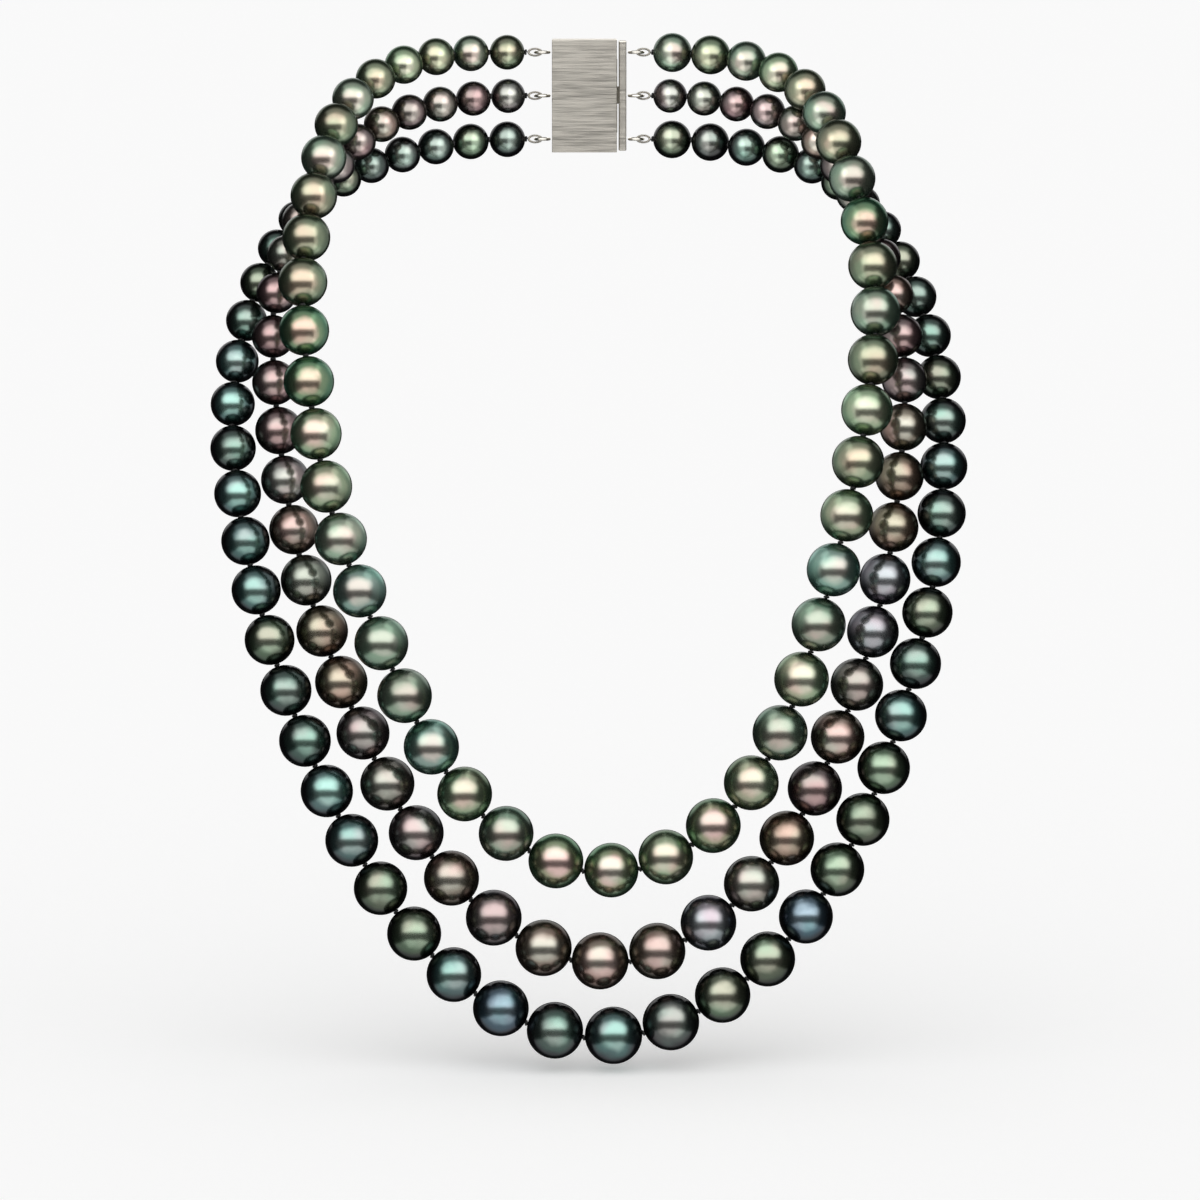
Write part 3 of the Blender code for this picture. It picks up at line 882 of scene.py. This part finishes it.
# ---------------------------------------------------------------- studio
@dataclass(frozen=True)
class Softbox:
    """A rectangular light that shows only as a reflection, dimmer towards its edges."""

    name: str
    centre: Point
    aim: Point
    width: float
    height: float
    radiance: float
    feather: tuple[float, float, float]   # share that fades: sides, lower and upper edge

    def fade(self, light: bpy.types.Light) -> None:
        """Dim the light towards its edges, as a diffuser does.

        Args:
            light: the area light.
        """
        light.use_nodes = True
        tree = light.node_tree
        across = add_node(tree, "ShaderNodeNewGeometry")
        parts = add_node(tree, "ShaderNodeSeparateXYZ", Vector=across.outputs["Parametric"])
        sides, low, high = self.feather
        smooth = {"interpolation_type": "SMOOTHSTEP"}
        steps = [
            add_node(tree, "ShaderNodeMapRange", smooth, Value=parts.outputs[axis],
                     From_Min=edge, From_Max=inner, To_Min=0.0, To_Max=1.0)
            for axis, edge, inner in (("X", 0.0, sides / 2), ("X", 1.0, 1.0 - sides / 2),
                                      ("Y", 0.0, low), ("Y", 1.0, 1.0 - high))]
        share = steps[0].outputs["Result"]
        for step in steps[1:]:
            share = add_node(tree, "ShaderNodeMath", {"operation": "MULTIPLY"}, i0=share,
                             i1=step.outputs["Result"]).outputs["Value"]
        tree.links.new(share, tree.nodes["Emission"].inputs["Strength"])

    def build(self) -> None:
        """Hang the light and point it."""
        light = bpy.data.lights.new(self.name, "AREA")
        light.shape = "RECTANGLE"
        light.size, light.size_y = self.width, self.height
        light.energy = self.radiance * math.pi * self.width * self.height
        self.fade(light)
        lamp = bpy.data.objects.new(self.name, light)
        lamp.location = self.centre
        direction = Vector(self.aim) - Vector(self.centre)
        lamp.rotation_euler = direction.to_track_quat("-Z", "Y").to_euler()
        lamp.visible_camera = False
        lamp.visible_diffuse = False
        bpy.context.collection.objects.link(lamp)


@dataclass(frozen=True)
class Studio:
    """Pale floor and room, soft lights and the camera; lengths are in metres here."""

    floor_z: float = -0.2065
    floor_radius: float = 60.0
    paper: str = "#F3F3F3"
    tooth_mm: float = 1.1          # grain of the paper
    tooth_height_mm: float = 0.1
    tooth_strength: float = 0.02
    table_glow: float = 0.28       # what the floor gives off itself
    sky: float = 0.945             # the room that the camera sees
    ambient: float = 0.04          # what a pearl mirrors between the softboxes
    fill: float = 0.53             # what lights the floor from all round
    overhead: float = 0.70
    overhead_spread: float = 90.0  # how much of the sky it fills, in degrees
    overhead_tilt: float = 12.0
    target: Point = (0.0025, -0.030, -0.105)
    distance: float = 1.25
    elevation: float = 8.0
    lens: float = 172.0
    sensor: float = 36.0
    clip: tuple[float, float] = (0.05, 200.0)

    def floor(self) -> None:
        """Lay the pale floor, a sheet over a lit table."""
        mesh = bmesh.new()
        bmesh.ops.create_circle(mesh, cap_ends=True, segments=96, radius=self.floor_radius,
                                matrix=Matrix.Translation((0, 0, self.floor_z)))
        data = keep_mesh("floor", mesh)
        floor = bpy.data.objects.new("floor", data)
        material, tree, shader = new_material("matt_paper")
        place = add_node(tree, "ShaderNodeTexCoord")
        tooth = add_node(tree, "ShaderNodeTexNoise", Vector=place.outputs["Object"],
                         Scale=1 / (self.tooth_mm * MM))
        bump = add_node(tree, "ShaderNodeBump", Height=tooth.outputs["Fac"],
                        Strength=self.tooth_strength, Distance=self.tooth_height_mm * MM)
        set_sockets(shader, Base_Color=linear(self.paper), Roughness=1.0,
                    Specular_IOR_Level=0.0, Emission_Color=(1, 1, 1, 1),
                    Emission_Strength=self.table_glow, Normal=bump.outputs["Normal"])
        data.materials.append(material)
        bpy.context.collection.objects.link(floor)
        floor.visible_glossy = False
        floor.visible_shadow = False

    def world(self) -> None:
        """A pale room to look at, dim in what the pearls mirror."""
        world = bpy.data.worlds.new("studio")
        bpy.context.scene.world = world
        world.use_nodes = True
        tree = world.node_tree
        tree.nodes.clear()
        path = add_node(tree, "ShaderNodeLightPath")
        lit = add_node(tree, "ShaderNodeMapRange", Value=path.outputs["Is Diffuse Ray"],
                       To_Min=self.ambient, To_Max=self.fill)
        seen = add_node(tree, "ShaderNodeMapRange", Value=path.outputs["Is Camera Ray"],
                        To_Min=lit.outputs["Result"], To_Max=self.sky)
        sky = add_node(tree, "ShaderNodeBackground", Color=(1, 1, 1, 1),
                       Strength=seen.outputs["Result"])
        add_node(tree, "ShaderNodeOutputWorld", Surface=sky.outputs["Background"])

    def softboxes(self) -> tuple[Softbox, ...]:
        """The boxes that the pearls mirror.

        Returns:
            A wide box above the camera, a silk overhead, a lit table in front, a box
            behind, and two cards back to back where a neck would be.
        """
        x, y, z = self.target
        right, left = (-0.014, 0.0, -0.035), (0.014, 0.0, -0.035)
        return (
            Softbox("key_softbox", centre=(x, y - 0.85, z + 0.85), aim=self.target,
                    width=4.6, height=1.7, radiance=2.55, feather=(0.65, 0.15, 0.5)),
            Softbox("ceiling_silk", centre=(x, y - 0.20, z + 1.20), aim=self.target,
                    width=2.6, height=1.5, radiance=0.9, feather=(0.4, 0.3, 0.3)),
            Softbox("table_bounce", centre=(x, y - 0.45, z - 0.35), aim=(x, y - 0.45, z),
                    width=1.2, height=1.2, radiance=1.2, feather=(0.3, 0.1, 0.1)),
            Softbox("back_softbox", centre=(x, y + 1.1, z + 0.5), aim=self.target,
                    width=3.0, height=1.0, radiance=1.7, feather=(0.5, 0.3, 0.4)),
            Softbox("neck_card_right", centre=right, aim=(-1, *right[1:]),
                    width=0.12, height=0.19, radiance=1.1, feather=(0.3, 0.3, 0.2)),
            Softbox("neck_card_left", centre=left, aim=(1, *left[1:]),
                    width=0.12, height=0.19, radiance=1.1, feather=(0.3, 0.3, 0.2)),
        )

    def lights(self) -> None:
        """Hang the overhead diffuser, which lights the floor, and the softboxes."""
        sun = bpy.data.lights.new("overhead_diffuser", "SUN")
        sun.energy = self.overhead
        sun.angle = math.radians(self.overhead_spread)
        lamp = bpy.data.objects.new("overhead_diffuser", sun)
        lamp.rotation_euler = (math.radians(self.overhead_tilt), 0, 0)
        lamp.visible_glossy = False
        bpy.context.collection.objects.link(lamp)
        for softbox in self.softboxes():
            softbox.build()

    def camera(self) -> None:
        """Stand the camera in front and a little above."""
        tilt = math.radians(self.elevation)
        back = Vector((0, -math.cos(tilt), math.sin(tilt)))
        data = bpy.data.cameras.new("camera")
        data.lens = self.lens
        data.sensor_width = self.sensor
        data.clip_start, data.clip_end = self.clip
        camera = bpy.data.objects.new("camera", data)
        camera.location = Vector(self.target) + back * self.distance
        camera.rotation_euler = (-back).to_track_quat("-Z", "Y").to_euler()
        bpy.context.collection.objects.link(camera)
        bpy.context.scene.camera = camera

    def build(self) -> None:
        """Set up the whole studio."""
        self.camera()
        self.floor()
        self.world()
        self.lights()
        bpy.context.scene.view_settings.view_transform = "Standard"


def main() -> None:
    """Build the necklace."""
    logging.basicConfig(level=logging.INFO, format="%(name)s: %(message)s")
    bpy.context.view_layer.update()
    Studio().build()
    silk = Silk().material()
    bead, knot = drilled_bead(), tied_knot()
    for seed, strand in enumerate(STRANDS, 1):
        nacre = Nacre(f"{strand.name}_nacre").material()
        strand.build(nacre, silk, bead, knot, seed)
    Clasp().build(POLISHED_GOLD.material(), SATINED_GOLD.material(), GIMP_WIRE.material())


if __name__ == "__main__":
    main()
